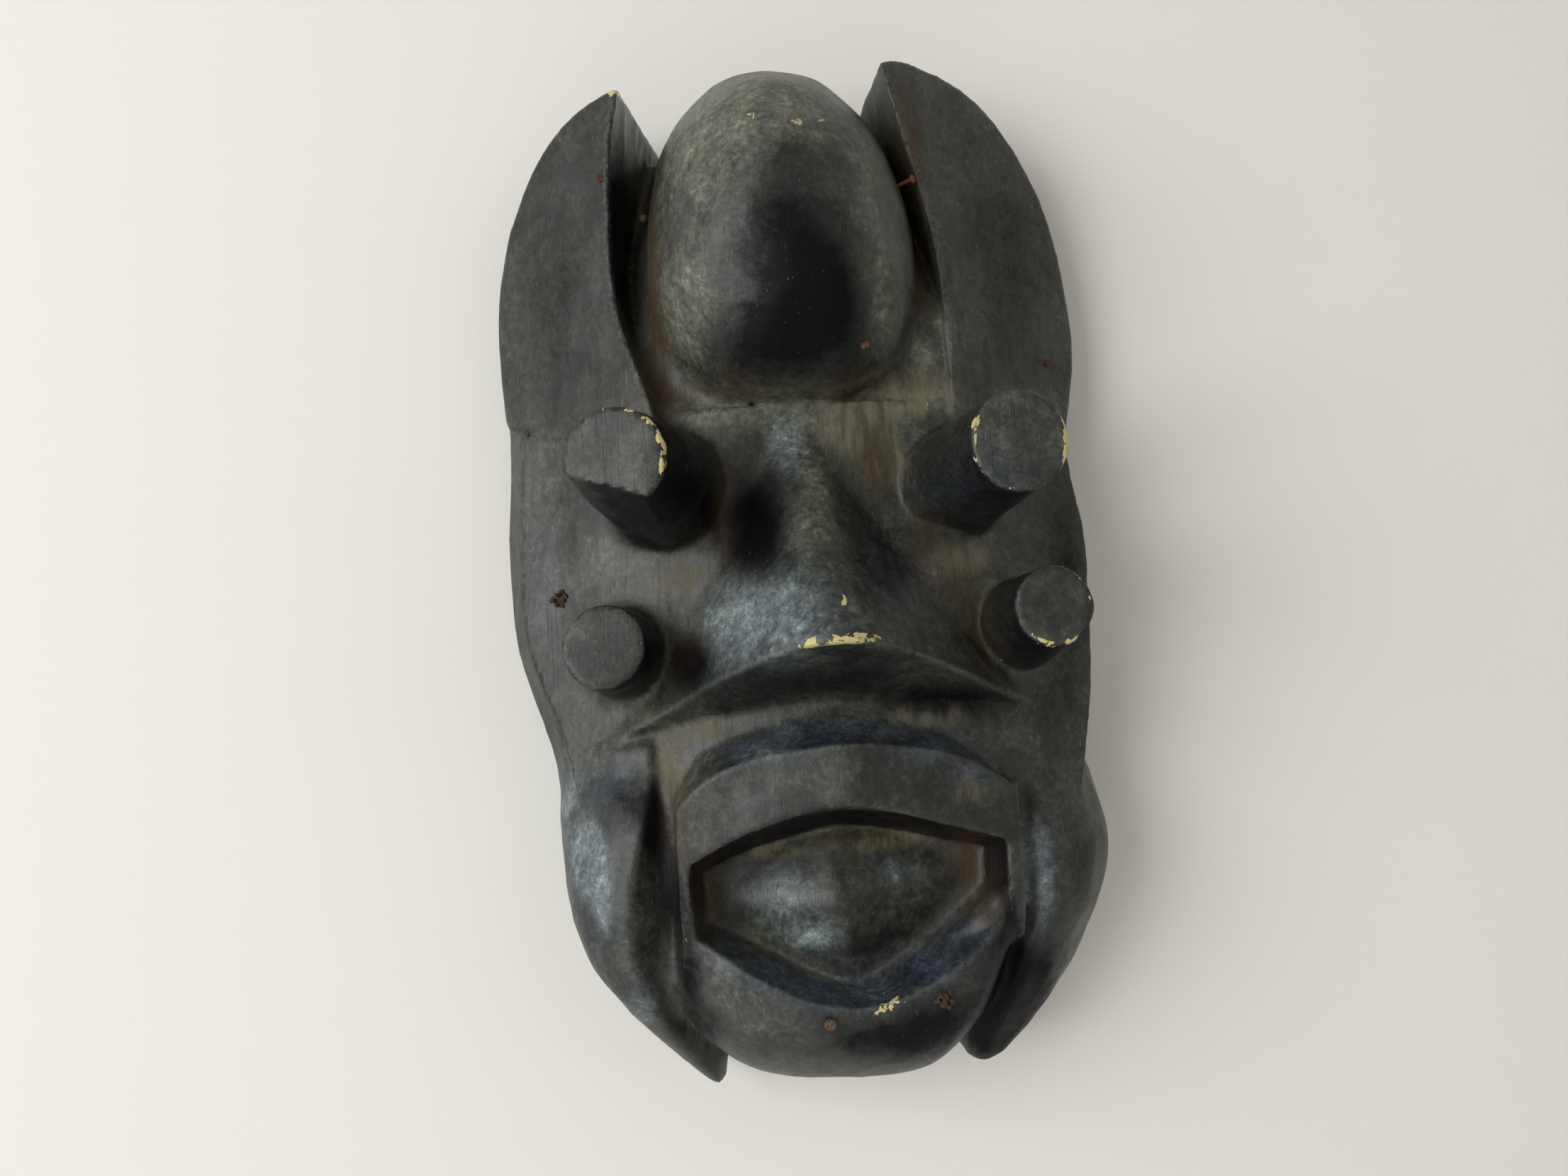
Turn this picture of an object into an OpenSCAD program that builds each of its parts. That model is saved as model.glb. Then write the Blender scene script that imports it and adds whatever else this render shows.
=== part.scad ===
// Carved wooden wall mask with horns, tube eyes and tusks, hung by a ring.
// Frame: X to the right of the mask as it is looked at, +Y into the wall,
// +Z up. The origin is the point where the wall hook bears in the ring.
// Outlines are written in face units: x across, z up from the middle of the
// face, and d, the relief, out of the back plane towards the viewer.

/* [Carving] */
// Height from the chin to the top of the crown
mask_h = 424; // [380:1:480]
// Width over the cheeks
mask_w = 258; // [225:1:300]
// Depth from the back rim to the ends of the eye tubes
mask_d = 144; // [125:1:155]
// Depth of the hollow behind the face
hollow_d = 52; // [35:1:54]
// Radius of the upper tubes at their ends
eye_r = 19; // [15:0.5:21]
// Radius of the lower tubes at their ends
cheek_tube_r = 16; // [12:0.5:17]

/* [Nails] */
// Diameter of a nail's shank
nail_d = 1.5; // [1:0.1:2]
// Diameter of a nail's head
nail_head_d = 3.4; // [2.6:0.1:4.5]
// Length of a nail
nail_len = 18; // [14:1:22]

/* [Hanger] */
// Width inside the ring
ring_in_w = 15; // [13:0.5:18]
// Diameter of the ring's wire
wire_d = 2.2; // [1.8:0.1:2.4]
// Width of the strap
strap_w = 9; // [8:0.5:10]
// Thickness of the strap's sheet
strap_t = 0.8; // [0.6:0.1:1]
// Depth of the seat cut for the hanger
seat_d = 6; // [5:0.5:8]

/* [Hidden] */
speck = 1;            // side of the small cube that stands for a point
behind = -10;         // depth that the lumps reach before the back plane cuts them

// Face units to millimetres
kx = mask_w / 258;
kz = mask_h / 424;
kd = mask_d / 144;

// Hanger, from the hook point down
hook_z = 196;                            // height of the hook point in face units
wire_r = wire_d / 2;
ring_r = ring_in_w / 2 + wire_r;         // centre line of the ring's arc
ring_corner = 2.2;                       // bend at each end of the ring's bar
leg = 6;                                 // from the arc's centre down to the bar
arc_z = wire_r - ring_r;                 // centre of the arc
bar_z = arc_z - leg;                     // hinge axis
pin_gap = 0.06;                          // running clearance round the bar
barrel_r = wire_r + pin_gap + strap_t;
seat_y = -barrel_r;                      // wood surface under the strap
rim_y = seat_y + seat_d;                 // back plane of the carving
strap_len = 28;
screw_drop = [9, 21];                    // screws below the hinge axis
screw_r = 1.6;
screw_head_r = 3.2;
screw_len = 14;

// Horn plates seen from the front, and cut across
left_horn = [
    [-54, 64], [-61, 100], [-64, 142], [-58, 179], [-46, 197], [-54, 201], [-66, 204], [-77, 202],
    [-97, 189], [-108, 174], [-117, 156], [-125, 122], [-126, 92], [-123, 70]];
right_horn = [
    [63, 60], [62, 116], [57, 156], [44, 203], [47, 208], [61, 210], [76, 207], [91, 200],
    [106, 184], [119, 162], [127, 137], [131, 106], [130, 84], [124, 60]];
left_horn_section = [[-140, -20], [-140, 20], [-127, 28], [-71, 72], [-68, 71], [-56, 38], [-56, -20]];
right_horn_section = [[150, -20], [150, 20], [133, 27], [62, 73], [58, 72], [56, 38], [56, -20]];

cheek_rim = [
    [-124, 74], [-127, 30], [-127, 0], [-120, -44], [-113, -64], [-106, -92], [-76, -156], [-52, -186],
    [56, -186], [84, -156], [116, -98], [122, -72], [127, -42], [131, -8], [131, 10], [126, 48], [124, 74]];
face_plate = [
    [-78, 74], [-80, 20], [-80, -40], [-72, -100], [-56, -156],
    [60, -156], [76, -100], [86, -40], [86, 20], [80, 74]];

mouth = [
    [-57, -111], [-28, -100], [3, -95], [37, -101], [71, -111],
    [70, -140], [44, -157], [20, -167], [-5, -168], [-26, -160], [-57, -143]];

// x, z, d and radius down the middle of each tusk
left_tusk = [
    [-87, -90, 50, 22], [-84, -112, 57, 24], [-83, -138, 56, 23],
    [-76, -162, 51, 19], [-64, -185, 43, 14], [-54, -202, 36, 10]];
right_tusk = [
    [97, -94, 48, 21], [96, -118, 57, 24], [95, -140, 57, 23],
    [87, -165, 52, 19], [76, -186, 44, 14], [65, -200, 38, 10]];

function at(x, z, d) = [x * kx, rim_y - d * kd, (z - hook_z) * kz];
function outline(points) = [for (p = points) [p.x * kx, (p.y - hook_z) * kz]];

// Prism on an outline, from one depth to another
module relief(points, low, high) {
    translate([0, rim_y - low * kd, 0])
        rotate([90, 0, 0]) linear_extrude((high - low) * kd) polygon(outline(points));
}

// Convex lump under a set of points x, z, d, down to the depth low
module facets(points, low = behind) {
    hull() for (p = points, d = [low, p.z])
        translate(at(p.x, p.y, d)) cube(speck, center = true);
}

// Rounded limb through points x, z, d, radius, filled down to the back plane
module limb(points) {
    for (i = [0 : len(points) - 2]) hull() for (p = [points[i], points[i + 1]]) {
        translate(at(p.x, p.y, p[2])) sphere(p[3] * kx, $fn = 20);
        translate(at(p.x, p.y, behind)) rotate([90, 0, 0]) cylinder(h = 1, r = p[3] * 0.8, $fn = 20);
    }
}

// Round tube from one point x, z, d to another
module tube(from, to, r_from, r_to) {
    start = at(from.x, from.y, from.z);
    run = at(to.x, to.y, to.z) - start;
    translate(start) rotate([0, acos(run.z / norm(run)), atan2(run.y, run.x)])
        cylinder(h = norm(run), r1 = r_from, r2 = r_to, $fn = 48);
}

// Horn plate: its outline, cut by the cross-section that runs up it
module horn(points, section) {
    intersection() {
        relief(points, behind, 90);
        translate([0, 0, (60 - hook_z) * kz]) linear_extrude(180 * kz)
            polygon([for (p = section) [p.x * kx, rim_y - p.y * kd]]);
    }
}

module cheeks() {
    facets(concat([for (p = cheek_rim) [p.x, p.y, 14]], [for (p = face_plate) [p.x, p.y, 62]]));
}

module crown() {
    // floor of the two grooves, then the egg-shaped dome on it
    facets([[-62, 70, 64], [66, 70, 64], [62, 120, 52], [56, 186, 30], [-56, 186, 30], [-62, 120, 52]]);
    facets([[-50, 150, 45], [-51, 176, 45], [-45, 189, 45], [-30, 204, 45], [-15, 210, 45],
        [-1, 212, 45], [12, 209, 45], [23, 203, 45], [34, 193, 45], [44, 150, 45]]);
    translate(at(-1, 139, 45)) multmatrix([[57 * kx, 0, 0, 0], [0, 75.5 * kd, 0, 0], [0, 0, 75.5 * kz, 0]])
        sphere(1, $fn = 48);
}

module nose() {
    facets([[-24, 62, 66], [20, 62, 66], [-2, 60, 76], [-72, -57, 72], [82, -57, 72],
        [-14, -36, 129], [5, -33, 136], [26, -37, 129], [-58, -53, 88], [68, -53, 90],
        [-40, -62, 62], [60, -62, 62]], 50);
}

module lips() {
    // two facets that meet in a ridge up the middle of the upper lip
    for (half = [[-57, -110, -90, -83], [67, -109, -92, -88]]) {
        facets([[4, -96, 110], [4, -70, 109], [4, -60, 84], [half[0], half[1], 100],
            [half[0], half[2], 98], [half[0], half[3], 80]], 50);
    }
}

module chin() {
    translate(at(8, -150, 40)) multmatrix([[71 * kx, 0, 0, 0], [0, 63 * kd, 0, 0], [0, 0, 58 * kz, 0]])
        sphere(1, $fn = 48);
    facets([[-58, -130, 80], [68, -130, 80], [-56, -146, 82], [62, -146, 82],
        [-26, -164, 92], [20, -167, 94]], 50);
}

module tongue() {
    for (half = [[-40, -141, -40, -124], [42, -143, 52, -122]]) {
        facets([[-1, -116, 88], [0, -130, 93], [4, -158, 86], [half[0], half[1], 72], [half[2], half[3], 72]], 50);
    }
}

module tubes() {
    tube([-48, 34, 48], [-71, 36, 141], eye_r + 5.5, eye_r);
    tube([59, 28, 48], [74, 34, 141], eye_r + 5.5, eye_r);
    tube([-74, -32, 44], [-81, -28, 111], cheek_tube_r + 3.5, cheek_tube_r);
    tube([86, -32, 44], [89, -25, 111], cheek_tube_r + 3.5, cheek_tube_r);
}

// Hollow behind the face, and the seat for the hanger that opens into it
module back_cuts() {
    translate(at(0, -20, 0)) multmatrix([[105 * kx, 0, 0, 0], [0, hollow_d, 0, 0], [0, 0, 165 * kz, 0]])
        sphere(1, $fn = 64);
    translate([-14, seat_y, (130 - hook_z) * kz]) cube([28, seat_d + 1, (205 - 130) * kz]);
}

module carved_mask() color([0.14, 0.16, 0.15]) difference() {
    union() {
        difference() {
            union() {
                cheeks();
                lips();
                chin();
            }
            relief(mouth, 73, 130);
        }
        tongue();
        horn(left_horn, left_horn_section);
        horn(right_horn, right_horn_section);
        crown();
        nose();
        limb(left_tusk);
        limb(right_tusk);
        tubes();
    }
    back_cuts();
    translate([-mask_w, rim_y, -2 * mask_h]) cube([2 * mask_w, 100, 4 * mask_h]);
}

// Straight nail: its head at x, z, d, leaning by tilt (about X, about Z), standing proud
module nail(x, z, d, tilt, head_d, length) {
    color([0.42, 0.26, 0.18]) translate(at(x, z, d)) rotate([tilt.x, 0, tilt.y]) rotate([-90, 0, 0]) {
        cylinder(h = 0.7, r1 = head_d * 0.42, r2 = head_d / 2, $fn = 32);
        translate([0, 0, 0.7]) cylinder(h = 0.3, r = head_d / 2, $fn = 32);
        cylinder(h = length, r = nail_d / 2, $fn = 32);
    }
}

module nail_left_horn() nail(-73.4, 166.4, 69.1, [0, 0], nail_head_d, nail_len);
module nail_left_groove() nail(-57.6, 155, 52, [0, -25], nail_head_d, nail_len);
module nail_right_groove() nail(55.2, 156.4, 77.8, [-8, 52], nail_head_d, nail_len + 4);
module nail_forehead() nail(27.1, 83.6, 96.1, [0, 20], nail_head_d + 0.6, nail_len);
module nail_right_horn() nail(116.8, 85.6, 38.6, [0, 20], nail_head_d, nail_len);
module nail_left_cheek() nail(-113.7, 68.4, 38, [0, -25], nail_head_d, nail_len);
module nail_chin() nail(-6.6, -174.4, 102, [17, 0], nail_head_d + 1.4, nail_len);

// Broken nail folded over on the wood: rust-swollen lumps round a short shank
module bent_nail(x, z, d, turn) {
    bends = [[0, 0, 1], [3.2, 1.6, 2.4], [4.4, -2, 1.6], [0.6, -3.6, 2], [-3.4, -1, 1.6], [-2.6, 3.2, 2.2]];
    color([0.45, 0.22, 0.12]) translate(at(x, z, d)) rotate([0, turn, 0]) {
        rotate([-90, 0, 0]) cylinder(h = nail_len - 4, r = nail_d / 2 + 0.2, $fn = 24);
        for (i = [0 : len(bends) - 2]) hull() for (p = [bends[i], bends[i + 1]])
            translate([p.x, -p.z + 1, p.y]) sphere(1.3, $fn = 12);
    }
}

module bent_nail_cheek() bent_nail(-103.2, -4.8, 48.2, 0);
module bent_nail_chin() bent_nail(37.1, -168.6, 100.7, 100);

// Folded strap: a barrel round the ring's bar and two leaves laid together
module hanger_strap() color([0.62, 0.6, 0.55]) difference() {
    union() {
        translate([-strap_w / 2, 0, bar_z]) rotate([0, 90, 0]) cylinder(h = strap_w, r = barrel_r, $fn = 48);
        translate([-strap_w / 2, seat_y, bar_z - strap_len + strap_w / 2])
            cube([strap_w, 2 * strap_t, strap_len - strap_w / 2]);
        translate([0, seat_y, bar_z - strap_len + strap_w / 2]) rotate([-90, 0, 0])
            cylinder(h = 2 * strap_t, r = strap_w / 2, $fn = 48);
    }
    translate([-strap_w, 0, bar_z]) rotate([0, 90, 0]) cylinder(h = 2 * strap_w, r = wire_r + pin_gap, $fn = 48);
    for (drop = screw_drop) translate([0, seat_y - 1, bar_z - drop]) rotate([-90, 0, 0])
        cylinder(h = 5, r = screw_r + 0.2, $fn = 32);
}

// Wire ring: half circle, two legs, two bends and the straight bar that turns in the strap
module hanger_ring() color([0.66, 0.64, 0.58]) {
    bar = ring_r - ring_corner;
    translate([0, 0, arc_z]) rotate([90, 0, 0]) rotate_extrude(angle = 180, $fn = 64)
        translate([ring_r, 0]) circle(wire_r, $fn = 32);
    translate([-bar, 0, bar_z]) rotate([0, 90, 0]) cylinder(h = 2 * bar, r = wire_r, $fn = 32);
    for (side = [-1, 1]) {
        translate([side * ring_r, 0, bar_z + ring_corner])
            cylinder(h = leg - ring_corner, r = wire_r, $fn = 32);
        translate([side * bar, 0, bar_z + ring_corner]) rotate([90, side > 0 ? 90 : 180, 0])
            rotate_extrude(angle = 90, $fn = 64) translate([ring_corner, 0]) circle(wire_r, $fn = 32);
    }
}

// Round-head wood screw with a straight slot, its head on the strap
module hanger_screw(drop) {
    head_y = seat_y + 2 * strap_t;
    color([0.7, 0.66, 0.5]) translate([0, head_y, bar_z - drop]) rotate([-90, 0, 0]) difference() {
        union() {
            cylinder(h = 1, r = screw_head_r, $fn = 48);
            translate([0, 0, 1]) cylinder(h = 0.8, r1 = screw_head_r, r2 = screw_head_r - 1.1, $fn = 48);
            translate([0, 0, -screw_len]) cylinder(h = screw_len, r = screw_r, $fn = 32);
        }
        rotate(25) translate([-screw_head_r, -0.4, 1]) cube([2 * screw_head_r, 0.8, 2]);
    }
}
module hanger_screw_upper() hanger_screw(screw_drop[0]);
module hanger_screw_lower() hanger_screw(screw_drop[1]);

carved_mask();
nail_left_horn();
nail_left_groove();
nail_right_groove();
nail_forehead();
nail_right_horn();
nail_left_cheek();
nail_chin();
bent_nail_cheek();
bent_nail_chin();
hanger_strap();
hanger_ring();
hanger_screw_upper();
hanger_screw_lower();
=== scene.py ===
import math

import bpy
import numpy as np
from mathutils import Matrix, Vector, kdtree


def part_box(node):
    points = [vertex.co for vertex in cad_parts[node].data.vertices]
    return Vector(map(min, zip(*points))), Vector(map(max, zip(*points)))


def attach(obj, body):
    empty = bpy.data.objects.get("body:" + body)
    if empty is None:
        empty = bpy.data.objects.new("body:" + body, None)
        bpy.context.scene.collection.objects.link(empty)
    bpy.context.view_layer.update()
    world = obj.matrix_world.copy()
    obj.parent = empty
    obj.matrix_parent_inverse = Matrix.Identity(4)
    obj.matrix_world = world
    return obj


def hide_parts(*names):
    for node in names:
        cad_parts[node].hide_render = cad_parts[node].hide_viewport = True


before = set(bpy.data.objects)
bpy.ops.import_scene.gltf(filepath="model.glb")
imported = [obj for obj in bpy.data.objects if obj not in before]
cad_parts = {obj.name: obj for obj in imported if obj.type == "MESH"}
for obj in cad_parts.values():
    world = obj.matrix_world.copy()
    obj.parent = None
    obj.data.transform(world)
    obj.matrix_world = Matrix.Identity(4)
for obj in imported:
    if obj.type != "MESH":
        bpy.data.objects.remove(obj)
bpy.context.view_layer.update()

MM = 0.001
BACK = Vector(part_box("carved_mask")[1]).y / MM      # y of the back plane
HOOK = 196.0                # height of the hook point above the middle of the face
SEED = 7
CHAMFER_SLOPE = 0.7071      # a chamfer of 45 degrees
TUBE_ROUNDING = 1.6
LIMB_TAPER = 0.06           # loss of radius for each millimetre down the stem of a limb
LIMB_BLEND = 3.0


# ---- the carving as a signed field ----
# Face units are millimetres: x across, z up from the middle of the face, and d, the
# relief, out of the back plane towards the viewer. A field is negative inside the wood. The
# numbers in a feature are its places and sizes in face units, and the last argument of each
# rounded_max or rounded_min is the length of its blend.

def rounded_max(a, b, blend):
    """Intersection of two fields with its edge rounded over the length blend."""
    share = np.clip(0.5 + 0.5 * (a - b) / blend, 0, 1)
    return b + (a - b) * share + blend * share * (1 - share)


def rounded_min(a, b, blend):
    """Union of two fields with a cove of the length blend between them."""
    return -rounded_max(-a, -b, blend)


def chamfered_max(a, b, size):
    """Intersection of two fields with a flat chamfer along its edge."""
    return np.maximum(np.maximum(a, b), (a + b + size) * CHAMFER_SLOPE)


def plane(p, a, b, c):
    """Half space under the plane through three points, on the side away from the viewer."""
    a, b, c = np.array(a, float), np.array(b, float), np.array(c, float)
    normal = np.cross(b - a, c - a)
    normal *= np.sign(normal[2]) / np.linalg.norm(normal)
    return (p[0] - a[0]) * normal[0] + (p[1] - a[1]) * normal[1] + (p[2] - a[2]) * normal[2]


def egg(p, centre, radii, power):
    """Superellipsoid, its value divided by its slope so that it measures length."""
    u = [np.abs(p[i] - centre[i]) / radii[i] + 1e-6 for i in range(3)]
    g = (u[0] ** power + u[1] ** power + u[2] ** power) ** (1 / power)
    slope = np.sqrt(sum((u[i] ** (power - 1) / radii[i]) ** 2 for i in range(3))) * g ** (1 - power)
    return (g - 1) / slope


def tube(p, start, end, start_r, end_r):
    """Cone frustum with a flat end; its start is buried in the face."""
    start, end = np.array(start, float), np.array(end, float)
    axis = end - start
    length = np.linalg.norm(axis)
    axis /= length
    q = [p[i] - start[i] for i in range(3)]
    along = q[0] * axis[0] + q[1] * axis[1] + q[2] * axis[2]
    across = np.sqrt(np.maximum(q[0] ** 2 + q[1] ** 2 + q[2] ** 2 - along ** 2, 0))
    side = across - (start_r + (end_r - start_r) * np.clip(along / length, -0.3, 1))
    return rounded_max(side, along - length, TUBE_ROUNDING)


def limb(p, stations):
    """Chain of balls x, z, d, radius, blended together, each on a stem that narrows downwards."""
    out = None
    for a, b in zip(stations[:-1], stations[1:]):
        run = (b[0] - a[0], b[1] - a[1])
        t = ((p[0] - a[0]) * run[0] + (p[1] - a[1]) * run[1]) / (run[0] ** 2 + run[1] ** 2)
        t = np.clip(t, 0, 1)
        depth = a[2] + (b[2] - a[2]) * t
        radius = a[3] + (b[3] - a[3]) * t
        sideways = (p[0] - a[0] - run[0] * t) ** 2 + (p[1] - a[1] - run[1] * t) ** 2
        ahead = np.maximum(p[2] - depth, 0)
        ball = np.sqrt(sideways + ahead ** 2) - radius + np.maximum(depth - p[2], 0) * LIMB_TAPER
        out = ball if out is None else rounded_min(out, ball, LIMB_BLEND)
    return out


def through(points, steps=6):
    """Smooth open curve through a few points (Catmull-Rom)."""
    q = [np.array(v, float) for v in points]
    q = [2 * q[0] - q[1]] + q + [2 * q[-1] - q[-2]]
    out = []
    for a, b, c, d in zip(q[:-3], q[1:-2], q[2:-1], q[3:]):
        for t in np.arange(steps) / steps:
            out.append(0.5 * (2 * b + (c - a) * t + (2 * a - 5 * b + 4 * c - d) * t * t
                              + (3 * b - a - 3 * c + d) * t ** 3))
    return out + [q[-2]]


class Outline:
    """Signed distance to a closed outline in x and z, kept on a fine grid and read between."""

    def __init__(self, *curves, pitch=1.0, margin=40.0):
        pts = np.array([v for curve in curves for v in curve])
        self.low = pts.min(0) - margin
        self.pitch = pitch
        size = np.ceil((pts.max(0) + margin - self.low) / pitch).astype(int) + 1
        x = self.low[0] + pitch * np.arange(size[0])[:, None]
        z = self.low[1] + pitch * np.arange(size[1])[None, :]
        near = np.full((size[0], size[1]), 1e9)
        inside = np.zeros(near.shape, bool)
        for a, b in zip(pts, np.roll(pts, -1, 0)):
            run = b - a
            if run @ run < 1e-9:
                continue
            t = np.clip(((x - a[0]) * run[0] + (z - a[1]) * run[1]) / (run @ run), 0, 1)
            near = np.minimum(near, (x - a[0] - run[0] * t) ** 2 + (z - a[1] - run[1] * t) ** 2)
            if a[1] != b[1]:
                crossing = ((a[1] > z) != (b[1] > z)) & (x < run[0] * (z - a[1]) / run[1] + a[0])
                inside ^= crossing
        self.value = (np.sqrt(near) * np.where(inside, -1, 1)).astype(np.float32)

    def __call__(self, p):
        u = (p[0] - self.low[0]) / self.pitch
        v = (p[1] - self.low[1]) / self.pitch
        top = np.array(self.value.shape) - 1.001
        cu, cv = np.clip(u, 0, top[0]), np.clip(v, 0, top[1])
        i, j = cu.astype(int), cv.astype(int)
        fu, fv = cu - i, cv - j
        g = self.value
        value = ((g[i, j] * (1 - fu) + g[i + 1, j] * fu) * (1 - fv)
                 + (g[i, j + 1] * (1 - fu) + g[i + 1, j + 1] * fu) * fv)
        return value + np.hypot(u - cu, v - cv) * self.pitch


# Outlines seen from the front, from a few points each
CHEEKS = Outline(
    through([(-123, 74), (-124, 56), (-126, 30), (-126, 0), (-125, -24), (-120, -44),
             (-113, -64), (-106, -92), (-92, -125), (-76, -156), (-52, -186)]),
    through([(56, -186), (84, -156), (104, -125), (116, -98), (122, -72), (127, -42),
             (131, -8), (131, 10), (128, 30), (126, 48), (124, 74)]))
LEFT_HORN = Outline(
    through([(-122, 72), (-124, 80), (-126, 100), (-125, 122), (-122, 137), (-117, 156),
             (-108, 174), (-97, 189), (-86, 198), (-77, 202), (-66, 204), (-60, 203), (-54, 200),
             (-46, 196)]),
    [(-40, 192), (-40, 56), (-98, 62)])
RIGHT_HORN = Outline(
    through([(122, 50), (127, 68), (130, 88), (130, 108), (127, 137), (119, 162),
             (106, 184), (91, 200), (76, 207), (61, 210), (53, 210), (46, 207)]),
    [(28, 204), (28, 50)])
CROWN = Outline(
    through([(-50, 150), (-52, 172), (-46, 189), (-38, 198), (-29, 206), (-16, 212), (-1, 214),
             (12, 211), (22, 206), (33, 195), (42, 178), (44, 150)]),
    [(44, 60), (-46, 60)])
MOUTH_RIM = Outline(
    through([(-57, -111), (-42, -105), (-28, -100), (-12, -96), (3, -95), (19, -97),
             (37, -101), (52, -105), (71, -111)]),
    through([(70, -140), (57, -148), (44, -157), (33, -162), (20, -167), (6, -169), (-5, -168),
             (-17, -165), (-26, -160), (-36, -155), (-47, -148), (-57, -143)]))
MOUTH_FLOOR = Outline(
    through([(-51, -119), (-40, -115), (-20, -109), (0, -106), (20, -107), (40, -111), (61, -117)]),
    through([(60, -132), (48, -142), (31, -152), (14, -159), (2, -160), (-14, -156), (-29, -149),
             (-42, -143), (-51, -138)]))

# The dome, and the blade cuts on it: turn to the right, lean up (degrees), depth below CUT_RADII
DOME_X, DOME_Z, DOME_D = -1, 139, 45
DOME_RADII = (56, 75, 76)
CUT_RADII = (57, 75, 76)
DOME_CUTS = [(-18, 58, 2.0), (16, 56, 2.0), (-48, 44, 1.8), (46, 40, 1.8), (-8, 32, 1.2), (24, 26, 1.4),
             (-34, 16, 1.3), (-62, 8, 1.5), (52, 6, 1.6), (6, 2, 1.3), (-24, -18, 1.4), (34, -22, 1.5),
             (-56, -26, 1.6), (8, -34, 1.2)]

# Upper edge of the lip (x, z), rise of the cove behind it (x, mm), inner edges of the horns (x, z)
LIP_TOP = through([(-62, -95), (-56, -89), (-44, -81), (-30, -75), (-10, -71), (9, -70), (29, -73),
                   (45, -78), (59, -85), (70, -92)])
COVE = [(-60, 2), (-50, 6), (-30, 8), (-10, 10), (5, 11), (20, 10), (40, 7), (60, 3), (70, 1)]
LEFT_EDGE = through([(-54, 56), (-58, 71), (-64, 87), (-69, 103), (-72, 120), (-73, 138),
                     (-71, 159), (-68, 180), (-64, 204)])
RIGHT_EDGE = through([(64, 56), (64, 102), (62, 127), (58, 148), (53, 170), (47, 194), (44, 214)])

# Tusks: silhouette, then ridge and inner foot as x, z, d from the top down
LEFT_TUSK = Outline(
    through([(-98, -66), (-107, -76), (-110, -92), (-109, -108), (-106, -129), (-99, -149),
             (-89, -165), (-77, -182), (-61, -201), (-53, -209), (-49, -211), (-46, -209)]),
    [(-44, -198), (-30, -180), (-30, -66), (-60, -64)])
LEFT_RIDGE = through([(-69, -79, 74), (-71, -94, 78), (-75, -108, 80), (-79, -124, 81),
                      (-80, -140, 80), (-78, -156, 76), (-72, -172, 70), (-64, -187, 62),
                      (-55, -202, 52), (-49, -212, 46)])
LEFT_FOOT = through([(-63, -75, 66), (-59, -92, 64), (-57, -109, 64), (-57, -126, 64),
                     (-58, -147, 62), (-57, -167, 58), (-51, -184, 52), (-43, -196, 42),
                     (-38, -211, 34)])
RIGHT_TUSK = Outline(
    through([(104, -62), (114, -76), (117, -90), (119, -103), (120, -119), (119, -134),
             (114, -151), (108, -165), (98, -179), (91, -188), (81, -199), (73, -207), (68, -210),
             (62, -211), (56, -208), (54, -203)]),
    [(53, -192), (44, -180), (44, -70), (70, -60)])
RIGHT_RIDGE = through([(80, -80, 68), (83, -91, 72), (86, -107, 77), (88, -120, 80), (86, -134, 80),
                       (82, -148, 79), (76, -161, 76), (73, -172, 72), (68, -185, 64),
                       (63, -199, 54), (58, -212, 46)])
RIGHT_FOOT = through([(78, -80, 64), (77, -92, 68), (76, -107, 72), (75, -120, 74), (74, -134, 74),
                      (72, -149, 72), (67, -162, 66), (62, -179, 60), (56, -188, 54),
                      (51, -196, 48), (44, -212, 36)])

# Right border of the chin, where it falls off into the groove beside the tusk
CHIN_EDGE = through([(82, -112), (80, -130), (77, -145), (70, -160), (62, -176), (51, -190), (34, -202),
                     (0, -212)])


def across(points, z, item=0):
    """A measure of a line that runs up the mask (its x, or its depth), at the height z."""
    table = np.array(sorted((v[1], v[item]) for v in points), float)
    return np.interp(z, table[:, 0], table[:, 1])


def horn(p, outline, edge, wall, side, face):
    """Flat horn plate: sloping front, steep inner wall below its sharp inner edge."""
    tip = 0.004 * np.maximum(p[1] - 170, 0) ** 2
    front = plane((p[0], p[1], p[2] + tip), *face)
    inner = (side * (across(edge, p[1]) - p[0]) - (72 - p[2]) * wall) / np.hypot(1, wall)
    body = rounded_max(front, inner, 1.2)
    return rounded_max(body, outline(p), 2.0)


def cheeks(p):
    """Body of the face: two sloping sides and a level front, chamfered along the outline."""
    left = plane(p, (-126, 0, 25), (-82, 0, 62), (-126, 60, 25))
    right = plane(p, (131, 0, 25), (88, 0, 62), (131, 60, 25))
    front = plane(p, (0, 60, 66), (50, 60, 66), (0, -100, 70))
    top = rounded_max(rounded_max(left, right, 4), front, 16)
    return chamfered_max(CHEEKS(p), top, 6.0)


def dome(p):
    """Egg of the forehead, wider and squarer below, cut into broad facets by a flat blade."""
    low = np.clip((140 - p[1]) / 60, 0, 1)
    wide = 55.5 + 3.5 * np.clip((160 - p[1]) / 50, 0, 1)
    across_dome = (p[0] - DOME_X) * DOME_RADII[0] / wide
    body = egg((across_dome, p[1], p[2]), (0, DOME_Z, DOME_D), DOME_RADII, 2 + 0.6 * low)
    for turn, lean, depth in DOME_CUTS:
        power = 2 + 0.6 * min(max(-lean / 45, 0), 1)
        turn, lean = math.radians(turn), math.radians(lean)
        way = (math.sin(turn) * math.cos(lean), math.sin(lean), math.cos(turn) * math.cos(lean))
        reach = sum((r * abs(w)) ** (power / (power - 1)) for r, w in zip(CUT_RADII, way))
        away = (p[0] - DOME_X) * way[0] + (p[1] - DOME_Z) * way[1] + (p[2] - DOME_D) * way[2]
        body = rounded_max(body, away + depth - reach ** (1 - 1 / power), 3)
    return body


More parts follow.
